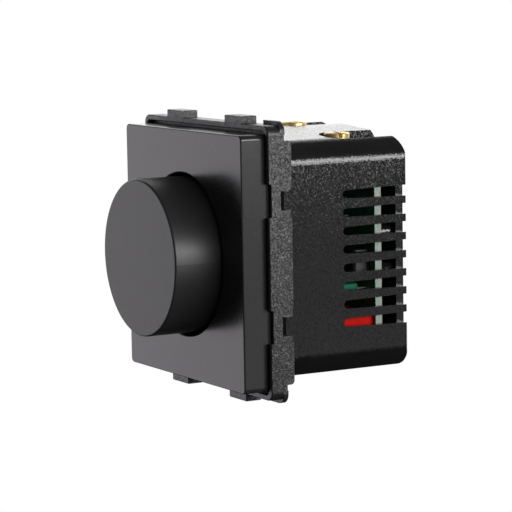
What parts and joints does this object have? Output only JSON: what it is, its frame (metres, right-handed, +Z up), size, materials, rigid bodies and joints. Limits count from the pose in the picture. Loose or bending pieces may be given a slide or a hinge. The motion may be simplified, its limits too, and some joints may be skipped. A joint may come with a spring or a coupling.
{
  "type": "rotary dimmer insert",
  "caption": "Square rotary dimmer insert: round knob on a flat plate, clip-in frame, vented box behind with slotted brass terminal screws.",
  "frame": {"origin": "centre of the mounting frame's front rim plane", "axes": "+X right as seen from the front, +Y into the wall, +Z up"},
  "size_m": [0.0468, 0.0434, 0.0506],
  "materials": {
    "board_green": "solder resist",
    "brass": "machined",
    "can_aluminium": "rolled",
    "carbon": "printed carbon",
    "enamelled_copper": "enamelled wire",
    "ferrite": "sintered",
    "frame_plastic": "fine stipple",
    "fuse_glass": "clear",
    "grained_black": "spark-eroded grain",
    "green_film": "dipped",
    "nylon_black": "moulded",
    "nylon_white": "moulded",
    "phenolic": "pressed board",
    "red_film": "dipped",
    "resistor_body": "lacquered",
    "satin_charcoal": "satin, very fine",
    "spring_steel": "drawn",
    "tinned_metal": "tinned",
    "zinc_steel": "bright zinc"
  },
  "bodies": {
    "root": {"mounting_frame": "frame_plastic", "face_plate": "satin_charcoal", "rear_housing": "grained_black", "inner_cover": "frame_plastic", "cover_screws": "zinc_steel", "pot_shell": "zinc_steel", "pot_bushing": "brass", "pot_nut": "brass", "pot_washer": "zinc_steel", "pot_wafer": "phenolic", "resistive_track": "carbon", "pot_terminals": "tinned_metal", "switch_body": "nylon_black", "switch_contacts": "brass", "switch_return_spring": "spring_steel", "control_board": "board_green", "power_board": "board_green", "link_pins": "tinned_metal", "link_header": "nylon_black", "control_chip": "nylon_black", "suppression_capacitor": "red_film", "timing_capacitor": "green_film", "capacitor_leads": "tinned_metal", "electrolytic_capacitor": "can_aluminium", "bridge_rectifier": "nylon_black", "resistors": "resistor_body", "fuse_tube": "fuse_glass", "fuse_link": "tinned_metal", "fuse_clips": "brass", "triac": "nylon_black", "heat_sink": "can_aluminium", "heat_sink_screw": "zinc_steel", "choke_core": "ferrite", "choke_winding": "enamelled_copper", "terminal_busbar_left": "brass", "terminal_busbar_centre": "brass", "terminal_busbar_right": "brass"},
    "push_plunger": {"switch_plunger": "nylon_white", "switch_bridge": "brass"},
    "knob_assembly": {"knob": "satin_charcoal", "knob_spring_clip": "spring_steel", "pot_shaft": "spring_steel"},
    "rotor": {"wiper_rotor": "nylon_black", "wiper_contact": "brass"},
    "screw_left": {"terminal_screw_left": "brass"},
    "clamp_left": {"terminal_clamp_left": "zinc_steel"},
    "screw_centre": {"terminal_screw_centre": "brass"},
    "clamp_centre": {"terminal_clamp_centre": "zinc_steel"},
    "screw_right": {"terminal_screw_right": "brass"},
    "clamp_right": {"terminal_clamp_right": "zinc_steel"}
  },
  "joints": [
    {"name": "knob_push", "type": "slide", "parent": "root", "child": "push_plunger", "axis": [0, 1, 0], "range_m": [0, 0.001], "stiffness_N_per_m": 1500, "deforming": ["switch_return_spring"]},
    {"name": "knob_turn", "type": "hinge", "parent": "push_plunger", "child": "knob_assembly", "pos_m": [0, 0, 0], "axis": [0, 1, 0], "range_deg": [0, 300]},
    {"name": "wiper_turn", "type": "hinge", "parent": "root", "child": "rotor", "pos_m": [0, 0.0055, 0], "axis": [0, 1, 0], "range_deg": [0, 300]},
    {"name": "clamp_rise_left", "type": "slide", "parent": "root", "child": "clamp_left", "axis": [0, 0, 1], "range_m": [0, 0.0024]},
    {"name": "screw_turn_left", "type": "hinge", "parent": "root", "child": "screw_left", "pos_m": [-0.015, 0.0189, 0.02007], "axis": [0, 0, -1], "range_deg": [0, 1440]},
    {"name": "clamp_rise_centre", "type": "slide", "parent": "root", "child": "clamp_centre", "axis": [0, 0, 1], "range_m": [0, 0.0024]},
    {"name": "screw_turn_centre", "type": "hinge", "parent": "root", "child": "screw_centre", "pos_m": [0, 0.0189, 0.0211], "axis": [0, 0, -1], "range_deg": [0, 1440]},
    {"name": "clamp_rise_right", "type": "slide", "parent": "root", "child": "clamp_right", "axis": [0, 0, 1], "range_m": [0, 0.0024]},
    {"name": "screw_turn_right", "type": "hinge", "parent": "root", "child": "screw_right", "pos_m": [0.015, 0.0189, 0.02007], "axis": [0, 0, -1], "range_deg": [0, 1440]}
  ],
  "couplings": [
    {"joint": "wiper_turn", "follows": "knob_turn", "ratio": 1},
    {"joint": "screw_turn_left", "follows": "clamp_rise_left", "rad_per_m": 10472},
    {"joint": "screw_turn_centre", "follows": "clamp_rise_centre", "rad_per_m": 10472},
    {"joint": "screw_turn_right", "follows": "clamp_rise_right", "rad_per_m": 10472}
  ]
}
